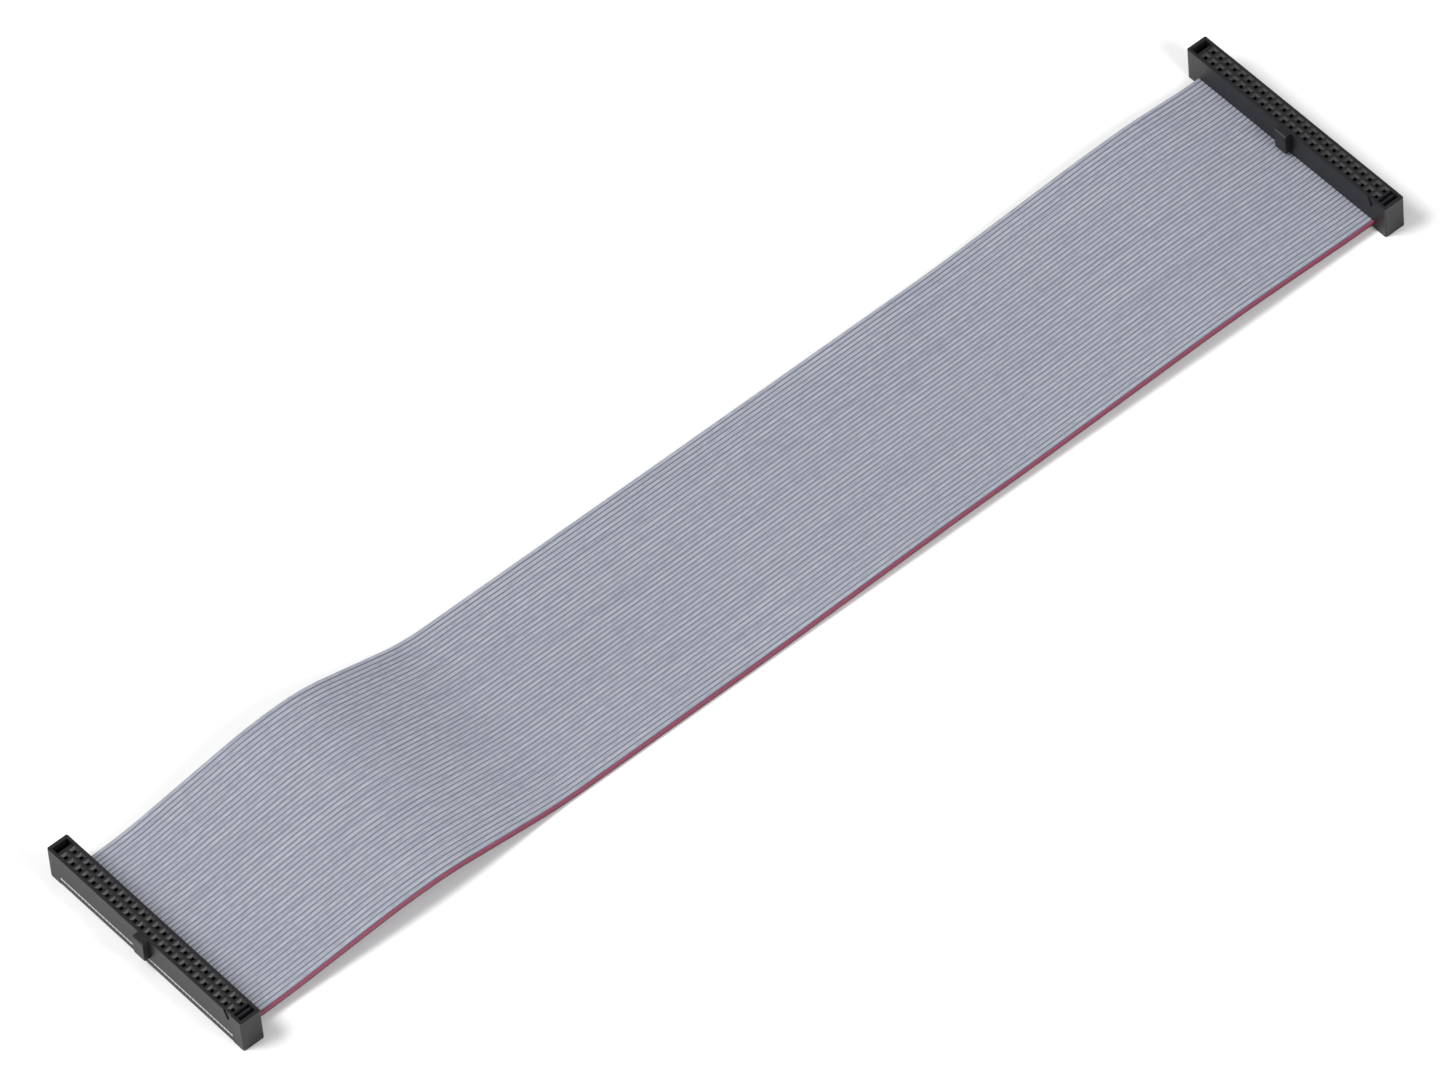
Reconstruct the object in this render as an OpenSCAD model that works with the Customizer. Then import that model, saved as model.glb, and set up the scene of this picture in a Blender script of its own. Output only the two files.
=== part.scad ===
// Flat ribbon cable with an insulation-displacement socket pressed on at each end.
// X runs along the cable, Y across it (the marked first conductor is at -Y), Z is up.
// Both sockets lie on their covers with their pin holes facing up.

/* [Conductors] */
// Number of conductors side by side
conductor_count = 50; // [10:2:60]
// Distance from one conductor to the next
conductor_pitch = 1.27; // [1.27:0.01:1.3]
// Diameter of a conductor's bare wire
wire_d = 0.38; // [0.3:0.01:0.45]
// How far the cut wires stand out of the cut insulation
wire_proud = 0.06; // [0.02:0.01:0.1]

/* [Insulation] */
// Thickness of the ribbon over a conductor
rib_thickness = 0.9; // [0.75:0.01:1]
// Width of the flat crest of a rib
crest_width = 0.56; // [0.4:0.01:0.7]
// Thickness of the web between two ribs
web_thickness = 0.3; // [0.2:0.01:0.4]

/* [Lay of the ribbon] */
// Distance between the two sockets, centre to centre
socket_distance = 355; // [300:1:600]
// Straight stretch of ribbon that leaves each socket
straight_exit = 2; // [1:0.5:10]

/* [Socket] */
// From the middle of the last pin hole to the end of the socket
end_length = 4.97; // [4.95:0.01:6]
// Width of a socket, along the cable
socket_width = 6.1; // [5.8:0.1:7]
// Height of a socket with its cover pressed home
socket_height = 10; // [9.5:0.1:12]
// Chamfer on a socket's upright corners
corner_chamfer = 0.3; // [0.1:0.05:0.5]
// Distance between the two rows of pin holes
row_pitch = 2.54; // [2.4:0.01:2.6]
// Side of a square pin hole
hole_side = 0.9; // [0.75:0.01:1]
// Side of the funnel at the mouth of a pin hole
funnel_side = 1.9; // [1.4:0.05:2.1]
// Depth of the funnel
funnel_depth = 0.5; // [0.3:0.05:0.7]
// Thickness of the wall above the contacts
mouth_wall = 1; // [0.9:0.05:1.5]
// Size of a contact's chamber along the cable
chamber_x = 1.1; // [0.9:0.05:1.3]
// Size of a contact's chamber across the cable
chamber_y = 1.7; // [1.5:0.05:1.8]

/* [Key and first-pin mark] */
// Width of the polarising key
key_width = 3.8; // [3:0.1:6]
// How far the key stands out of the side
key_proud = 1.8; // [0.8:0.1:2]
// Height of the key down from the mating face
key_height = 6.4; // [4:0.1:7]
// Width of the first-pin triangle
mark_width = 2.6; // [1.5:0.1:3]
// Height of the first-pin triangle
mark_height = 2.9; // [1.5:0.1:3]
// Depth of the first-pin triangle
mark_depth = 0.3; // [0.1:0.05:0.5]

/* [Cover] */
// Thickness of the cover under the ribs
cover_floor = 1.75; // [1.5:0.05:2.2]
// Clearance between the cover and what it meets
cover_clearance = 0.1; // [0.05:0.01:0.15]
// Clearance round the ribs in the cover's grooves
groove_clearance = 0.02; // [0.01:0.01:0.05]

/* [Latch] */
// Thickness of the end wall beside a latch slot
end_wall = 1; // [0.8:0.05:1.2]
// Width of a latch slot across the cable
slot_width = 2.6; // [2.5:0.05:2.7]
// Length of a latch slot along the cable
slot_length = 4.5; // [3.5:0.1:4.6]
// How far the ledge that holds the latch stands out of the end wall
ledge_depth = 0.75; // [0.5:0.05:0.8]
// Height of the top of that ledge
ledge_height = 6; // [5:0.1:6.5]
// Thickness of a latch arm
arm_thickness = 0.8; // [0.6:0.05:0.9]
// Gap between a latch arm and the inner side of its slot
arm_gap = 0.55; // [0.5:0.05:0.65]
// How far a latch arm stays below the mating face
arm_recess = 0.7; // [0.5:0.1:1.5]
// How far the hook reaches over the ledge
hook_reach = 0.35; // [0.2:0.05:0.4]

/* [Contacts] */
// Thickness of the strip that a contact is stamped from
contact_thickness = 0.4; // [0.3:0.05:0.5]
// Width of the fork that cuts through the insulation
fork_width = 1; // [0.9:0.02:1.06]
// How far the fork's tips reach past the ribbon's middle
fork_reach = 1.2; // [1:0.05:1.4]
// Height of the contact's foot, which is pressed into the chamber
foot_height = 1.1; // [0.8:0.1:1.5]
// Width of a prong at its root
prong_width = 0.45; // [0.35:0.05:0.5]
// Gap between the two prongs where they grip the pin
grip_gap = 0.54; // [0.45:0.01:0.6]
// Distance from the top of the prongs down to the grip
grip_depth = 1; // [0.8:0.1:1.5]

/* [Hidden] */
$fn = 32;
over = 1; // how far a cutting shape runs past what it cuts

// One row of pin holes takes every second conductor.
holes_in_row = conductor_count / 2;
hole_pitch = 2 * conductor_pitch;
socket_length = (holes_in_row - 1) * hole_pitch + 2 * end_length;
first_conductor_y = -(conductor_count - 1) / 2 * conductor_pitch;
first_hole_y = -(holes_in_row - 1) / 2 * hole_pitch;
ribbon_width = (conductor_count - 1) * conductor_pitch + rib_thickness;
fork_offset = conductor_pitch / 2;

// Heights in a socket, up from the surface it lies on
ribbon_middle = cover_floor + rib_thickness / 2;
cover_top = ribbon_middle - web_thickness / 2 - groove_clearance;
body_underside = ribbon_middle + rib_thickness / 2;
chamber_top = socket_height - mouth_wall;

// Places along and across a socket, from its middle
socket_edge = socket_width / 2;
socket_end = socket_length / 2;
post_inner = ribbon_width / 2 + cover_clearance;
slot_outer = socket_end - end_wall;
slot_inner = slot_outer - slot_width;
ledge_inner = slot_outer - ledge_depth;
arm_inner = slot_inner + arm_gap;
arm_outer = arm_inner + arm_thickness;

// The key stands out on one side only, so the sockets sit half of it off the middle.
left_x = -socket_distance / 2 + key_proud / 2;
right_x = socket_distance / 2 + key_proud / 2;

// Crests and troughs of the ribbon between the sockets, chosen by eye: distance from the left
// socket's centre as a share of the socket distance, and height of the ribbon's middle.
// The first pair is the edge at +Y, the second pair the marked edge at -Y.
lay = [
    [[0.18, 9.2], [0.155, 4.9]],
    [[0.30, 0.6], [0.29, 0.6]],
    [[0.50, 0.5], [0.42, 0.6]],
    [[0.72, 0.6], [0.64, 1.8]],
    [[0.92, 3.4], [0.87, 3.2]],
];
// Steps between one crest or trough and the next
lay_steps = [3, 4, 1, 2, 3, 2];
// Share of the way between two crests that each bend takes
bend_share = 0.3;

// Closed outline of the ribbon's cross-section, as [across, up] points
function ribbon_outline(clearance = 0) = let(
    crest = crest_width / 2 + clearance,
    top = rib_thickness / 2 + clearance,
    web = web_thickness / 2 + clearance,
    edge = ribbon_width / 2 + clearance,
    last = conductor_count - 1,
    upper = [
        [-edge, web],
        for (i = [0 : last]) let(y = first_conductor_y + i * conductor_pitch) each [
            [y - crest, top],
            [y + crest, top],
            if (i < last) [y + conductor_pitch / 2, web],
        ],
        [edge, web],
    ]
) concat(upper, [for (i = [len(upper) - 1 : -1 : 0]) [upper[i][0], -upper[i][1]]]);

// Share of the rise between two crests that is reached at a share s of the way: the ribbon
// bends over the first and the last part of the way and runs straight between them.
function eased(s) =
    s < bend_share ? s * s / (2 * bend_share * (1 - bend_share))
    : s > 1 - bend_share ? 1 - eased(1 - s)
    : (s - bend_share / 2) / (1 - bend_share);

// Both edges of the ribbon where it leaves a socket
function exit_edges(x) = [[x, ribbon_middle], [x, ribbon_middle]];

lay_start = left_x + socket_edge + straight_exit;
lay_end = right_x - socket_edge - straight_exit;
lay_edges = concat(
    [exit_edges(lay_start)],
    [for (pair = lay) [for (p = pair) [left_x + p[0] * socket_distance, p[1]]]],
    [exit_edges(lay_end)]
);

// Edges of the ribbon at every step: [far [x, z], near [x, z]]
stations = concat(
    [for (i = [0 : len(lay_steps) - 1], k = [0 : lay_steps[i] - 1]) let(s = k / lay_steps[i]) [
        for (e = [0, 1]) [
            lay_edges[i][e][0] + s * (lay_edges[i + 1][e][0] - lay_edges[i][e][0]),
            lay_edges[i][e][1] + eased(s) * (lay_edges[i + 1][e][1] - lay_edges[i][e][1]),
        ]
    ]],
    [lay_edges[len(lay_edges) - 1]]
);

// Slope of the ribbon's edge e at station i, level at both ends
function slope(i, e) = i == 0 || i == len(stations) - 1 ? 0 : let(
    a = stations[i - 1][e],
    b = stations[i + 1][e]
) atan2(b[1] - a[1], b[0] - a[0]);

// A point of the outline carried to station i: [across, up] becomes [x, y, z]
function laid(i, p) = let(
    near = (ribbon_width / 2 - p[0]) / ribbon_width,
    middle = (1 - near) * stations[i][0] + near * stations[i][1],
    tilt = (1 - near) * slope(i, 0) + near * slope(i, 1)
) [middle[0] - p[1] * sin(tilt), p[0], middle[1] + p[1] * cos(tilt)];

// The ribbon between the sockets, swept from station to station
module laid_ribbon() {
    outline = ribbon_outline();
    n = len(outline);
    rings = len(stations);
    points = [for (i = [0 : rings - 1], p = outline) laid(i, p)];
    sides = [for (i = [0 : rings - 2], j = [0 : n - 1]) let(
        a = i * n + j,
        b = i * n + (j + 1) % n
    ) each [[a, b, b + n], [a, b + n, a + n]]];
    // Each end is closed by strips from a point on the top to the point right under it.
    end = (rings - 1) * n;
    ends = [for (j = [0 : n / 2 - 2]) let(k = n - 1 - j) each [
        [k, k - 1, j + 1, j],
        [end + j, end + j + 1, end + k - 1, end + k],
    ]];
    polyhedron(points = points, faces = concat(sides, ends), convexity = 10);
}

// Turns an outline drawn as [across, up] and extrudes it from x = start to x = finish
module along_x(start, finish) {
    translate([start, 0, 0])
        rotate([90, 0, 90])
            linear_extrude(finish - start) children();
}

// Stands an outline drawn as [along, up] up in the XZ plane, from y = start to y = finish
module along_y(start, finish) {
    translate([0, finish, 0])
        rotate([90, 0, 0])
            linear_extrude(finish - start) children();
}

// A block from its lowest to its highest corner
module block(low, high) {
    translate(low) cube(high - low);
}

// Puts a copy at each pin hole's place in one row: side -1 is the odd row, 1 the even row
module at_holes(side) {
    for (i = [0 : holes_in_row - 1])
        translate([side * row_pitch / 2, first_hole_y + i * hole_pitch, 0]) children();
}

module at_both_ends() {
    children();
    mirror([0, 1, 0]) children();
}

// The stretch of ribbon that a socket holds, pierced by its wires and its forks. It leaves
// the socket towards +X with direction 1, and towards -X with direction -1.
module held_ribbon(socket_x, direction) {
    translate([socket_x, 0, 0])
        difference() {
            mirror([direction > 0 ? 0 : 1, 0, 0])
                difference() {
                    along_x(wire_proud - socket_edge, socket_edge + straight_exit)
                        translate([0, ribbon_middle]) polygon(ribbon_outline());
                    wire_ends(-socket_edge - over, socket_edge + straight_exit / 2);
                }
            fork_windows();
        }
}

// Openings in the ribbon that the forks have cut
module fork_windows() {
    for (side = [-1, 1])
        at_holes(side)
            block(
                [-contact_thickness / 2, side * fork_offset - fork_width / 2, 0],
                [contact_thickness / 2, side * fork_offset + fork_width / 2, body_underside + over]
            );
}

// Bare wires from x = start to x = finish
module wire_ends(start, finish) {
    for (i = [0 : conductor_count - 1])
        translate([start, first_conductor_y + i * conductor_pitch, ribbon_middle])
            rotate([0, 90, 0])
                cylinder(h = finish - start, d = wire_d);
}

module ribbon_insulation() {
    color("lightgray") {
        laid_ribbon();
        held_ribbon(left_x, 1);
        held_ribbon(right_x, -1);
    }
}

// The wires' ends, from the cut end to just outside the socket
module conductor_ends(socket_x, direction) {
    color("peru")
        translate([socket_x, 0, 0])
            mirror([direction > 0 ? 0 : 1, 0, 0])
                wire_ends(-socket_edge, socket_edge + straight_exit / 2);
}

// Plan of the socket body, with its upright corners chamfered
module body_plan() {
    x = socket_edge;
    y = socket_end;
    c = corner_chamfer;
    polygon([
        [-x + c, -y], [x - c, -y], [x, -y + c], [x, y - c],
        [x - c, y], [-x + c, y], [-x, y - c], [-x, -y + c],
    ]);
}

// The key that stops the socket going on the wrong way round
module key() {
    bottom = socket_height - key_height;
    front = -socket_edge - key_proud;
    along_y(-key_width / 2, key_width / 2)
        polygon([
            [-socket_edge + over, bottom],
            [-socket_edge, bottom],
            [front, bottom + corner_chamfer],
            [front, socket_height - corner_chamfer],
            [front + corner_chamfer, socket_height],
            [-socket_edge + over, socket_height],
        ]);
}

// Square pin hole with a funnel mouth, and the chamber behind it
module pin_hole(side) {
    half = hole_side / 2;
    mouth = funnel_side / 2;
    grow = (mouth - half) / funnel_depth * over;
    funnel = [
        [-half, -funnel_depth], [half, -funnel_depth],
        [mouth + grow, over], [-mouth - grow, over],
    ];
    translate([0, 0, socket_height])
        intersection() {
            along_y(-funnel_side, funnel_side) polygon(funnel);
            along_x(-funnel_side, funnel_side) polygon(funnel);
        }
    block([-half, -half, chamber_top - over], [half, half, socket_height]);
    block(
        [-chamber_x / 2, -chamber_y / 2, body_underside - over],
        [chamber_x / 2, chamber_y / 2, chamber_top]
    );
    fork_room = fork_offset + fork_width / 2 + cover_clearance;
    mirror([0, side < 0 ? 1 : 0, 0])
        block(
            [-chamber_x / 2, 0, body_underside - over],
            [chamber_x / 2, fork_room, body_underside + foot_height]
        );
}

// Slot for a latch arm, wide above the ledge and narrow beside it
module latch_slot() {
    x = slot_length / 2;
    block([-x, slot_inner, ledge_height], [x, slot_outer, socket_height + over]);
    block([-x, slot_inner, -over], [x, ledge_inner, ledge_height + over]);
    block([-x, post_inner - over, -over], [x, ledge_inner, body_underside]);
}

// Triangle beside the first pin, sunk into the key side
module first_pin_mark() {
    translate([0, first_hole_y, socket_height])
        along_x(-socket_edge - over, -socket_edge + mark_depth)
            polygon([[-mark_width / 2, over], [-mark_width / 2, -corner_chamfer], [0, -mark_height],
                     [mark_width / 2, -corner_chamfer], [mark_width / 2, over]]);
}

module socket_body() {
    color("dimgray")
        difference() {
            union() {
                linear_extrude(socket_height) body_plan();
                key();
            }
            // Room for the ribbon and the cover between the end posts
            block(
                [-socket_edge - over, -post_inner, -over],
                [socket_edge + over, post_inner, body_underside]
            );
            for (side = [-1, 1])
                at_holes(side) pin_hole(side);
            at_both_ends() latch_slot();
            first_pin_mark();
        }
}

// Latch arm with its hook, as an outline of [across, up]
module arm_outline() {
    hook = ledge_inner + hook_reach;
    hook_under = ledge_height + cover_clearance / 2;
    tip = socket_height - arm_recess;
    polygon([
        [arm_inner, 0],
        [arm_outer, 0],
        [arm_outer, hook_under],
        [hook, hook_under],
        [hook, hook_under + hook_reach],
        [arm_outer - corner_chamfer, tip],
        [arm_inner, tip],
    ]);
}

module cover() {
    x = socket_edge;
    c = corner_chamfer;
    tongue_x = slot_length / 2 - cover_clearance;
    y = post_inner - cover_clearance;
    color("gray")
        difference() {
            union() {
                along_y(-y, y)
                    polygon([[-x + c, 0], [x - c, 0], [x, c], [x, cover_top], [-x, cover_top], [-x, c]]);
                at_both_ends() {
                    block([-tongue_x, y - over, 0], [tongue_x, ledge_inner - cover_clearance, cover_top]);
                    along_x(-tongue_x, tongue_x) arm_outline();
                }
            }
            along_x(-x - over, x + over)
                translate([0, ribbon_middle]) polygon(ribbon_outline(groove_clearance));
            for (side = [-1, 1])
                at_holes(side) fork_pocket(side);
        }
}

// Pocket in the cover for the tips of a fork
module fork_pocket(side) {
    x = contact_thickness / 2 + cover_clearance;
    y = fork_width / 2 + groove_clearance;
    bottom = ribbon_middle - fork_reach - cover_clearance;
    block([-x, side * fork_offset - y, bottom], [x, side * fork_offset + y, ribbon_middle]);
}

// Prong of a contact on the +Y side, as an outline of [across, up]
module prong_outline() {
    root = body_underside + foot_height;
    tip = chamber_top - cover_clearance;
    grip = tip - grip_depth;
    outer = chamber_y / 2 - cover_clearance;
    polygon([
        [outer - prong_width, root - cover_clearance],
        [outer, root - cover_clearance],
        [outer, grip],
        [outer - cover_clearance, tip],
        [grip_gap / 2 + 2 * cover_clearance, tip],
        [grip_gap / 2, grip],
        [outer - prong_width, grip - grip_depth],
    ]);
}

// Stamped contact: fork below, foot in the middle, two prongs above
module contact_outline(side) {
    tip = ribbon_middle - fork_reach;
    fork_middle = side * fork_offset;
    foot_low = body_underside + cover_clearance;
    translate([-chamber_y / 2, foot_low])
        square([chamber_y, foot_height - cover_clearance]);
    prong_outline();
    mirror([1, 0]) prong_outline();
    difference() {
        translate([fork_middle - fork_width / 2, tip])
            square([fork_width, foot_low + foot_height / 2 - tip]);
        translate([fork_middle, ribbon_middle]) circle(d = wire_d);
        translate([fork_middle - wire_d / 2, tip - over])
            square([wire_d, fork_reach + over]);
        // Tapered mouth that leads the wire in
        polygon([
            [fork_middle - fork_width / 2 + cover_clearance, tip - cover_clearance],
            [fork_middle + fork_width / 2 - cover_clearance, tip - cover_clearance],
            [fork_middle, tip + fork_width / 2],
        ]);
    }
}

module contacts(side) {
    color("goldenrod")
        at_holes(side)
            along_x(-contact_thickness / 2, contact_thickness / 2) contact_outline(side);
}

ribbon_insulation();
conductor_ends(left_x, 1);  // left_conductor_ends
translate([left_x, 0, 0]) socket_body();  // left_socket_body
translate([left_x, 0, 0]) cover();  // left_cover
translate([left_x, 0, 0]) contacts(-1);  // left_odd_contacts
translate([left_x, 0, 0]) contacts(1);  // left_even_contacts
conductor_ends(right_x, -1);  // right_conductor_ends
translate([right_x, 0, 0]) socket_body();  // right_socket_body
translate([right_x, 0, 0]) cover();  // right_cover
translate([right_x, 0, 0]) contacts(-1);  // right_odd_contacts
translate([right_x, 0, 0]) contacts(1);  // right_even_contacts
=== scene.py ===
import math

import bpy
from mathutils import Matrix, Vector


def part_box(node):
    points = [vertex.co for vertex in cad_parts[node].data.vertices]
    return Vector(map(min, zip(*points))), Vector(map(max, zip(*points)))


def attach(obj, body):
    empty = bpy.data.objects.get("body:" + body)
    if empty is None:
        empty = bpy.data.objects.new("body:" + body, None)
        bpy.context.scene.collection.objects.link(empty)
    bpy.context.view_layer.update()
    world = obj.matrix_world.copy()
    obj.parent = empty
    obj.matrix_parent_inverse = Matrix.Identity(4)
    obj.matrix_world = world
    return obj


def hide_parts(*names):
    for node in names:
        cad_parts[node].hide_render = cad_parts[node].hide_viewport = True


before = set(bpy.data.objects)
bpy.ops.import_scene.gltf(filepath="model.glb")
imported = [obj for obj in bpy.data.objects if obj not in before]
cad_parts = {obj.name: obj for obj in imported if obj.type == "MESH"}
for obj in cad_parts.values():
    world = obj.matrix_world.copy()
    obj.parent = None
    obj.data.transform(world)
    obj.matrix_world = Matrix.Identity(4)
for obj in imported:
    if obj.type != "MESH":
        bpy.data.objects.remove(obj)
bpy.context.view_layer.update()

MM = 0.001

# The photograph's camera: its lens, its direction in degrees, its place, and its reach in metres
IMAGE_WIDTH_PX = 1440
FOCAL_PX = 14218.8
SENSOR_MM = 36.0
CAMERA_AZIMUTH = -36.41
CAMERA_ELEVATION = 50.59
CAMERA_ROLL = -5.57
CAMERA_FROM_LEFT_SOCKET = Vector((-1088.4, -1709.5, 2591.1)) * MM
CAMERA_REACH = 20.0

# The ribbon, as in the part's source, in millimetres
CONDUCTORS = 50
PITCH = 1.27
RIB_THICKNESS = 0.9
CREST_WIDTH = 0.56
WEB_THICKNESS = 0.3
COVER_FLOOR = 1.75
RIBBON_MIDDLE = COVER_FLOOR + RIB_THICKNESS / 2
RIBBON_WIDTH = (CONDUCTORS - 1) * PITCH + RIB_THICKNESS
NEAR_EDGE = -RIBBON_WIDTH / 2
STRAIGHT_EXIT = 2.0
WIRE_STANDS_OUT = 0.06

# Crests and troughs of the ribbon's far and near edges: share of the socket distance, height in mm
LAY = [
    ((0.18, 9.2), (0.155, 4.9)),
    ((0.30, 0.6), (0.29, 0.6)),
    ((0.50, 0.5), (0.42, 0.6)),
    ((0.72, 0.6), (0.64, 1.8)),
    ((0.92, 3.4), (0.87, 3.2)),
]
FAR, NEAR = 0, 1
# Share of the way between crest and trough that is bent, at either end of it
BEND_SHARE = 0.3
# Millimetres between the ribbon's cross-sections, and to either side of a place for its slope
STATION_SPACING = 3.0
SLOPE_STEP = 0.5

# Points of the outline over one rib, as shares of the pitch from its middle, the last in the groove
RIB_STEPS = (-0.41, -0.30, -0.14, 0.14, 0.30, 0.41, 0.5)
# Share of the crest's width that is quite flat, and how much steeper than a parabola the flank starts
FLAT_SHARE = 0.5
FLANK_BEND = 0.55

# The printed stripe in millimetres, and how sharply its edge and the painted shade on its outer side
# end
STRIPE_WIDTH = 0.95
STRIPE_SHARPNESS = 12.0
STRIPE_SHADE_WIDTH = 0.22
STRIPE_SHADE_SHARPNESS = 5.0
# Narrowness of the painted shade line in each groove
GROOVE_SHADE_SHARPNESS = 8.0

# Fineness of each texture along X, Y and Z, which its scale then multiplies
STREAK_RATES = (0.03, 2.2, 0.4)
SPECK_RATES = (0.45, 1.2, 0.5)
GRAIN_RATES = (0.6, 3.0, 1.0)
FLOW_RATES = (1.0, 0.25, 1.0)
DRAWN_RATES = (3.0, 3.0, 0.6)
# Weight of the streaks and the clouds in the ribbon's grey, and of the streaks in its relief
GREY_STREAKS = 0.9
GREY_CLOUDS = 0.35
RELIEF_STREAKS = 0.6

# Rounding of the socket bodies: its width in millimetres, its steps and the least angle rounded
BODY_ROUNDING = 0.09
ROUNDING_STEPS = 2
SHARP_ANGLE = 35

# Linear colours, most of them a darker and a paler one that a texture mixes
RIBBON_GREYS = (0.229, 0.248, 0.305, 1), (0.368, 0.388, 0.445, 1)
CLOUD_GREY = (0.314, 0.315, 0.354, 1)
# Painted shade along the bottom of each groove
GROOVE_SHADE_GREY = (0.055, 0.055, 0.085, 1)
STRIPE_REDS = (0.175, 0.028, 0.060, 1), (0.29, 0.058, 0.112, 1)
# Painted shade on the outer side of the marked rib
STRIPE_SHADE_RED = (0.085, 0.008, 0.020, 1)
CUT_GREYS = (0.40, 0.41, 0.45, 1), (0.56, 0.57, 0.61, 1)
PLATING_GOLDS = (0.78, 0.56, 0.25, 1), (0.92, 0.72, 0.38, 1)
TIN_GREYS = (0.78, 0.75, 0.70, 1), (0.90, 0.88, 0.84, 1)
FLOOR_WHITES = (0.86, 0.86, 0.86, 1), (0.90, 0.90, 0.90, 1)
WORLD_WHITE = (1.0, 1.0, 1.0, 1)

# Mean tone of each black moulding, and its red, green and blue as shares of that tone
BODY_TONE = 0.007
COVER_TONE = 0.009
MOULDING_SHARES = (0.75, 0.72, 0.90), (1.35, 1.32, 1.65)
PLASTIC_IOR = 1.5
MOULDING_SPECULAR = 0.45

# Studio, in metres: half the floor's side, then each light's place, side and watts
FLOOR_REACH = 6.0
LIGHTS = {
    "key": ((-2.2, 1.3, 3.2), 2.0, 166.0),
    "fill": ((0.18, -1.02, 0.70), 0.45, 9.0),
}
WORLD_STRENGTH = 0.35


def box_mm(node):
    """The node's lowest and highest corner in millimetres."""
    low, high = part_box(node)
    return Vector(low) / MM, Vector(high) / MM


left_cover_low, left_cover_high = box_mm("left_cover")
right_cover_low, right_cover_high = box_mm("right_cover")
LEFT_X = (left_cover_low.x + left_cover_high.x) / 2
RIGHT_X = (right_cover_low.x + right_cover_high.x) / 2
SOCKET_DISTANCE = RIGHT_X - LEFT_X
SOCKET_EDGE = (left_cover_high.x - left_cover_low.x) / 2


# Camera

def add_camera():
    """A camera at the photograph's viewing angle."""
    azimuth = math.radians(CAMERA_AZIMUTH)
    elevation = math.radians(CAMERA_ELEVATION)
    roll = math.radians(CAMERA_ROLL)
    back = Vector((
        math.sin(azimuth) * math.cos(elevation),
        -math.cos(azimuth) * math.cos(elevation),
        math.sin(elevation),
    ))
    level_right = Vector((math.cos(azimuth), math.sin(azimuth), 0.0))
    level_up = back.cross(level_right)
    right = math.cos(roll) * level_right + math.sin(roll) * level_up
    up = math.cos(roll) * level_up - math.sin(roll) * level_right
    data = bpy.data.cameras.new("camera")
    data.sensor_width = SENSOR_MM
    data.lens = FOCAL_PX / IMAGE_WIDTH_PX * SENSOR_MM
    data.clip_end = CAMERA_REACH
    camera = bpy.data.objects.new("camera", data)
    bpy.context.collection.objects.link(camera)
    turn = Matrix((right, up, back)).transposed().to_4x4()
    place = CAMERA_FROM_LEFT_SOCKET + Vector((LEFT_X * MM, 0.0, 0.0))
    camera.matrix_world = Matrix.Translation(place) @ turn
    bpy.context.scene.camera = camera


# Node helpers

def new_material(name):
    """A material with an empty tree, its output and its principled shader."""
    material = bpy.data.materials.new(name)
    material.use_nodes = True
    tree = material.node_tree
    tree.nodes.clear()
    output = tree.nodes.new("ShaderNodeOutputMaterial")
    shader = tree.nodes.new("ShaderNodeBsdfPrincipled")
    tree.links.new(shader.outputs["BSDF"], output.inputs["Surface"])
    return material, tree, shader


def add_node(tree, kind, **settings):
    """A node of that kind. Settings name its properties."""
    node = tree.nodes.new(kind)
    for key, value in settings.items():
        setattr(node, key, value)
    return node


def feed(tree, socket, value):
    """Links an output into a socket, or sets the socket to a plain value."""
    if isinstance(value, bpy.types.NodeSocket):
        tree.links.new(value, socket)
    else:
        socket.default_value = value


def math_node(tree, operation, first, second=0.0, third=0.0, clamp=False):
    """The result of an operation on up to three values."""
    node = add_node(tree, "ShaderNodeMath", operation=operation, use_clamp=clamp)
    for index, value in enumerate((first, second, third)):
        feed(tree, node.inputs[index], value)
    return node.outputs[0]


def varied(tree, value, least, spread):
    """A number that rises from the least by that spread, as the value goes from 0 to 1."""
    return math_node(tree, "MULTIPLY_ADD", value, spread, least)


def contrasted(tree, value, middle, gain):
    """The value with more contrast about its middle, held between 0 and 1."""
    return math_node(tree, "MULTIPLY_ADD", value, gain, 0.5 - gain * middle, clamp=True)


def below(tree, value, limit, sharpness):
    """1 where the value is well below the limit and 0 above it, with a ramp that steep between."""
    gap = math_node(tree, "SUBTRACT", limit, value)
    return math_node(tree, "MULTIPLY", gap, sharpness, clamp=True)


def mix_colour(tree, factor, first, second):
    """The first colour at a factor of 0, the second at 1."""
    node = add_node(tree, "ShaderNodeMix", data_type="RGBA")
    feed(tree, node.inputs["Factor"], factor)
    feed(tree, node.inputs["A"], first)
    feed(tree, node.inputs["B"], second)
    return node.outputs["Result"]


def noise(tree, vector, scale, detail=2.0, roughness=0.5):
    """Smooth noise from about 0 to 1, with that many waves per unit of the vector."""
    node = add_node(tree, "ShaderNodeTexNoise", noise_dimensions="3D")
    feed(tree, node.inputs["Vector"], vector)
    feed(tree, node.inputs["Scale"], scale)
    feed(tree, node.inputs["Detail"], detail)
    feed(tree, node.inputs["Roughness"], roughness)
    return node.outputs["Fac"]


def object_position(tree):
    """The point's place in the object's own frame, in millimetres."""
    position = add_node(tree, "ShaderNodeTexCoord").outputs["Object"]
    scaled = add_node(tree, "ShaderNodeVectorMath", operation="SCALE")
    feed(tree, scaled.inputs[0], position)
    scaled.inputs["Scale"].default_value = 1.0 / MM
    return scaled.outputs[0]


def stretched(tree, vector, factors):
    """The vector with each part multiplied by its own factor."""
    node = add_node(tree, "ShaderNodeVectorMath", operation="MULTIPLY")
    feed(tree, node.inputs[0], vector)
    node.inputs[1].default_value = factors
    return node.outputs[0]


def bump(tree, height, distance_mm, strength):
    """A normal that leans with the height."""
    node = add_node(tree, "ShaderNodeBump")
    feed(tree, node.inputs["Height"], height)
    node.inputs["Distance"].default_value = distance_mm * MM
    node.inputs["Strength"].default_value = strength
    return node.outputs["Normal"]


# Ribbon materials

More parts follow.
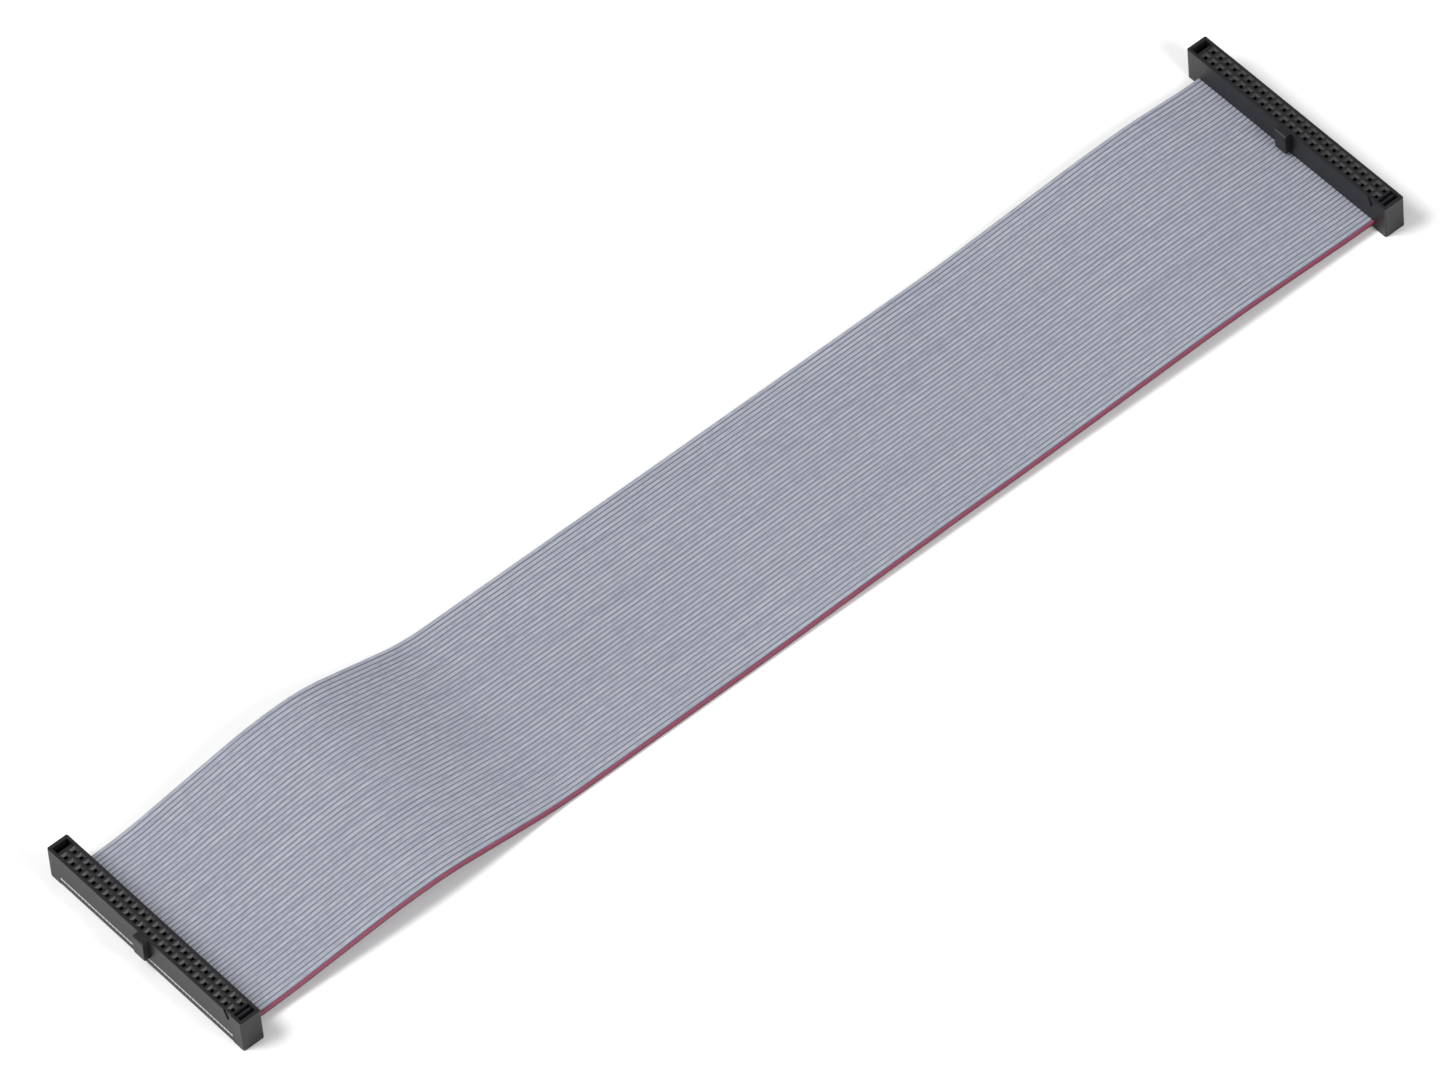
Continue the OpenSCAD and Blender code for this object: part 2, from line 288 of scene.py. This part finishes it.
def groove_shade_lines(tree, across):
    """Mask of the painted groove shade: 1 along the bottom of each groove, falling to 0 on the
    crests.
    """
    wave = math_node(tree, "COSINE", math_node(tree, "MULTIPLY", across, 2 * math.pi / PITCH))
    # An even count of ribs puts a groove on the middle line, where the cosine is 1
    groove = math_node(tree, "MULTIPLY_ADD", wave, 0.5, 0.5, clamp=True)
    return math_node(tree, "POWER", groove, GROOVE_SHADE_SHARPNESS)


def ribbon_grey(tree, place, across, streaks):
    """Grey that varies in streaks, specks and clouds, with a painted shade line in each groove."""
    specks = noise(tree, stretched(tree, place, SPECK_RATES), scale=1.0, detail=2.0, roughness=0.6)
    uneven = math_node(tree, "ADD", math_node(tree, "MULTIPLY", streaks, GREY_STREAKS), specks)
    grey = mix_colour(tree, contrasted(tree, uneven, middle=0.95, gain=1.9), *RIBBON_GREYS)
    clouds = noise(tree, place, scale=0.05, detail=2.0)
    grey = mix_colour(tree, math_node(tree, "MULTIPLY", clouds, GREY_CLOUDS), grey, CLOUD_GREY)
    # Painted shade along the bottom of each groove, its strength varied by the specks
    shade_strength = varied(tree, specks, least=0.35, spread=1.2)
    painted_groove_shade = math_node(tree, "MULTIPLY", groove_shade_lines(tree, across), shade_strength, clamp=True)
    return mix_colour(tree, painted_groove_shade, grey, GROOVE_SHADE_GREY)


def stripe_red_and_shade(tree, across, streaks):
    """The printed red, with painted shade on the outer side of the marked rib."""
    red = mix_colour(tree, streaks, *STRIPE_REDS)
    # Painted shade: the outer side of the marked rib is darkened
    painted_shade = below(tree, across, NEAR_EDGE + STRIPE_SHADE_WIDTH, STRIPE_SHADE_SHARPNESS)
    return mix_colour(tree, painted_shade, red, STRIPE_SHADE_RED)


def insulation_material():
    """Grey ribbon insulation with the stripe printed on its first conductor."""
    material, tree, shader = new_material("ribbon_insulation_pvc")
    place = object_position(tree)
    split = add_node(tree, "ShaderNodeSeparateXYZ")
    feed(tree, split.inputs[0], place)
    across = split.outputs["Y"]
    streaks = noise(tree, stretched(tree, place, STREAK_RATES), scale=1.0, detail=3.0, roughness=0.6)
    grain = noise(tree, stretched(tree, place, GRAIN_RATES), scale=3.0, detail=3.0, roughness=0.6)
    # The stripe's edge wanders a little
    wander = varied(tree, grain, least=-0.05, spread=0.10)
    wavy = math_node(tree, "ADD", across, wander)
    marked = below(tree, wavy, NEAR_EDGE + STRIPE_WIDTH, STRIPE_SHARPNESS)
    grey = ribbon_grey(tree, place, across, streaks)
    red = stripe_red_and_shade(tree, across, streaks)
    feed(tree, shader.inputs["Base Color"], mix_colour(tree, marked, grey, red))
    feed(tree, shader.inputs["Roughness"], varied(tree, grain, least=0.30, spread=0.16))
    shader.inputs["IOR"].default_value = PLASTIC_IOR
    relief = math_node(tree, "ADD", math_node(tree, "MULTIPLY", streaks, RELIEF_STREAKS), grain)
    feed(tree, shader.inputs["Normal"], bump(tree, relief, distance_mm=0.025, strength=0.6))
    return material


def cut_material():
    """The paler, rougher insulation of a cut end."""
    material, tree, shader = new_material("ribbon_cut_pvc")
    grain = noise(tree, object_position(tree), scale=4.0, detail=3.0, roughness=0.6)
    feed(tree, shader.inputs["Base Color"], mix_colour(tree, grain, *CUT_GREYS))
    shader.inputs["Roughness"].default_value = 0.6
    feed(tree, shader.inputs["Normal"], bump(tree, grain, distance_mm=0.03, strength=0.5))
    return material


# Socket and studio materials

def moulding_material(name, tone):
    """Black glass-filled moulding with a fine matt grain."""
    material, tree, shader = new_material(name)
    place = object_position(tree)
    grain = noise(tree, place, scale=6.0, detail=4.0, roughness=0.65)
    flow = noise(tree, stretched(tree, place, FLOW_RATES), scale=0.6, detail=2.0)
    dark, light = [[tone * share for share in shares] + [1] for shares in MOULDING_SHARES]
    feed(tree, shader.inputs["Base Color"], mix_colour(tree, flow, dark, light))
    feed(tree, shader.inputs["Roughness"], varied(tree, grain, least=0.34, spread=0.22))
    shader.inputs["IOR"].default_value = PLASTIC_IOR
    shader.inputs["Specular IOR Level"].default_value = MOULDING_SPECULAR
    feed(tree, shader.inputs["Normal"], bump(tree, grain, distance_mm=0.02, strength=0.5))
    return material


def metal_material(name, tones, least_roughness):
    """Plated or tinned metal with drawn streaks."""
    material, tree, shader = new_material(name)
    place = object_position(tree)
    streaks = noise(tree, stretched(tree, place, DRAWN_RATES), scale=2.5, detail=3.0, roughness=0.6)
    feed(tree, shader.inputs["Base Color"], mix_colour(tree, streaks, *tones))
    shader.inputs["Metallic"].default_value = 1.0
    feed(tree, shader.inputs["Roughness"], varied(tree, streaks, least_roughness, spread=0.2))
    feed(tree, shader.inputs["Normal"], bump(tree, streaks, distance_mm=0.01, strength=0.4))
    return material


def floor_material():
    """Plain matt white with a very faint mottle."""
    material, tree, shader = new_material("studio_floor")
    mottle = noise(tree, object_position(tree), scale=0.004, detail=2.0)
    feed(tree, shader.inputs["Base Color"], mix_colour(tree, mottle, *FLOOR_WHITES))
    shader.inputs["Roughness"].default_value = 0.8
    return material


# Ribbon

def eased(share):
    """Share of a rise that is reached at a share of the way: bent, straight, then bent back."""
    if share < BEND_SHARE:
        return share * share / (2 * BEND_SHARE * (1 - BEND_SHARE))
    if share > 1 - BEND_SHARE:
        return 1 - eased(1 - share)
    return (share - BEND_SHARE / 2) / (1 - BEND_SHARE)


def edge_height(x, edge):
    """Height of the ribbon's middle along its far or near edge."""
    start = LEFT_X + SOCKET_EDGE + STRAIGHT_EXIT
    finish = RIGHT_X - SOCKET_EDGE - STRAIGHT_EXIT
    if not start < x < finish:
        return RIBBON_MIDDLE
    knots = [(start, RIBBON_MIDDLE)]
    knots += [(LEFT_X + pair[edge][0] * SOCKET_DISTANCE, pair[edge][1]) for pair in LAY]
    knots += [(finish, RIBBON_MIDDLE)]
    (x0, z0), (x1, z1) = next(span for span in zip(knots, knots[1:]) if x <= span[1][0])
    return z0 + (z1 - z0) * eased((x - x0) / (x1 - x0))


def edge_slope(x, edge):
    """Angle at which the ribbon rises along its far or near edge."""
    rise = edge_height(x + SLOPE_STEP, edge) - edge_height(x - SLOPE_STEP, edge)
    return math.atan2(rise, 2 * SLOPE_STEP)


def rib_height(offset):
    """Half thickness of the ribbon at a distance from a rib's middle."""
    crest = RIB_THICKNESS / 2
    web = WEB_THICKNESS / 2
    flat = FLAT_SHARE * CREST_WIDTH / 2
    fall = (abs(offset) - flat) / (PITCH / 2 - flat)
    fall = max(0.0, min(1.0, fall))
    return crest - (crest - web) * fall * fall * (1 + FLANK_BEND * (1 - fall))


def ribbon_outline():
    """The ribbon's cross-section as (across, up) points, going round it."""
    upper = []
    first = -(CONDUCTORS - 1) / 2 * PITCH
    for rib in range(CONDUCTORS):
        middle = first + rib * PITCH
        upper += [(middle + step * PITCH, rib_height(step * PITCH)) for step in RIB_STEPS]
    # No groove follows the last rib
    upper.pop()
    half = RIBBON_WIDTH / 2
    upper = [(max(-half, min(half, y)), z) for y, z in upper]
    lower = [(y, -z) for y, z in reversed(upper)]
    return upper + lower


def between(edge_values, near):
    """The value at a share of the way from the far edge to the near one."""
    return edge_values[FAR] * (1 - near) + edge_values[NEAR] * near


def ribbon_ring(x, outline):
    """The outline's points where the ribbon passes x, leaning with its slope there."""
    heights = [edge_height(x, edge) for edge in (FAR, NEAR)]
    slopes = [edge_slope(x, edge) for edge in (FAR, NEAR)]
    ring = []
    for y, z in outline:
        near = (RIBBON_WIDTH / 2 - y) / RIBBON_WIDTH
        middle = between(heights, near)
        tilt = between(slopes, near)
        point = Vector((x - z * math.sin(tilt), y, middle + z * math.cos(tilt)))
        ring.append(point * MM)
    return ring


def side_faces(ring_size, spans):
    """Quads that join each ring to the next."""
    faces = []
    for span in range(spans):
        for j in range(ring_size):
            a = span * ring_size + j
            b = span * ring_size + (j + 1) % ring_size
            faces.append((a, a + ring_size, b + ring_size, b))
    return faces


def end_faces(ring_size, last_ring):
    """Strips that close both ends, from a point on the top to the point right under it."""
    faces = []
    for j in range(ring_size // 2 - 1):
        k = ring_size - 1 - j
        faces.append((j, j + 1, k - 1, k))
        faces.append((last_ring + k, last_ring + k - 1, last_ring + j + 1, last_ring + j))
    return faces


def build_ribbon():
    """The whole ribbon, from cut end to cut end, as one swept mesh."""
    outline = ribbon_outline()
    start = LEFT_X - SOCKET_EDGE + WIRE_STANDS_OUT
    finish = RIGHT_X + SOCKET_EDGE - WIRE_STANDS_OUT
    spans = round((finish - start) / STATION_SPACING)
    points = []
    for station in range(spans + 1):
        points += ribbon_ring(start + (finish - start) * station / spans, outline)
    sides = side_faces(len(outline), spans)
    ends = end_faces(len(outline), spans * len(outline))
    mesh = bpy.data.meshes.new("ribbon")
    mesh.from_pydata(points, [], sides + ends)
    mesh.validate()
    mesh.shade_smooth()
    mesh.materials.append(insulation_material())
    mesh.materials.append(cut_material())
    for polygon in mesh.polygons[len(sides):]:
        polygon.use_smooth = False
        polygon.material_index = 1
    piece = bpy.data.objects.new("ribbon", mesh)
    bpy.context.collection.objects.link(piece)
    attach(piece, "root")
    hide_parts("ribbon_insulation")


# CAD pieces

def dress(node, material):
    """Gives a CAD node its material."""
    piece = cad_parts[node]
    piece.data.materials.clear()
    piece.data.materials.append(material)


def soften(node, width_mm):
    """Rounds the moulded edges of a CAD node a little."""
    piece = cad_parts[node]
    bevel = piece.modifiers.new("soft_edges", "BEVEL")
    bevel.width = width_mm * MM
    bevel.segments = ROUNDING_STEPS
    bevel.limit_method = "ANGLE"
    bevel.angle_limit = math.radians(SHARP_ANGLE)
    bevel.use_clamp_overlap = True
    bevel.harden_normals = True


def dress_sockets():
    """Dresses both sockets alike, and rounds their bodies' edges."""
    body = moulding_material("socket_body_moulding", BODY_TONE)
    cover = moulding_material("socket_cover_moulding", COVER_TONE)
    contact = metal_material("contact_plating", PLATING_GOLDS, least_roughness=0.18)
    wire = metal_material("tinned_wire", TIN_GREYS, least_roughness=0.25)
    for painted_shade in ("left", "right"):
        dress(painted_shade + "_socket_body", body)
        soften(painted_shade + "_socket_body", BODY_ROUNDING)
        dress(painted_shade + "_cover", cover)
        dress(painted_shade + "_odd_contacts", contact)
        dress(painted_shade + "_even_contacts", contact)
        dress(painted_shade + "_conductor_ends", wire)


# Studio

def add_floor():
    """A plain square floor that the cable lies on."""
    reach = FLOOR_REACH
    corners = [(-reach, -reach, 0), (reach, -reach, 0), (reach, reach, 0), (-reach, reach, 0)]
    mesh = bpy.data.meshes.new("floor")
    mesh.from_pydata(corners, [], [(0, 1, 2, 3)])
    mesh.materials.append(floor_material())
    floor = bpy.data.objects.new("floor", mesh)
    bpy.context.collection.objects.link(floor)


def add_light(name, place, painted_shade, watts):
    """A square light that faces the middle of the cable."""
    data = bpy.data.lights.new(name, "AREA")
    data.shape = "SQUARE"
    data.size = painted_shade
    data.energy = watts
    light = bpy.data.objects.new(name, data)
    bpy.context.collection.objects.link(light)
    light.location = place
    light.rotation_euler = (-Vector(place)).to_track_quat("-Z", "Y").to_euler()


def add_studio():
    """Floor, lights and an even white surrounding."""
    add_floor()
    for name, (place, painted_shade, watts) in LIGHTS.items():
        add_light(name, place, painted_shade, watts)
    world = bpy.data.worlds.new("studio")
    bpy.context.scene.world = world
    world.use_nodes = True
    background = world.node_tree.nodes["Background"]
    background.inputs["Color"].default_value = WORLD_WHITE
    background.inputs["Strength"].default_value = WORLD_STRENGTH
    bpy.context.scene.view_settings.view_transform = "Standard"


add_camera()
build_ribbon()
dress_sockets()
add_studio()
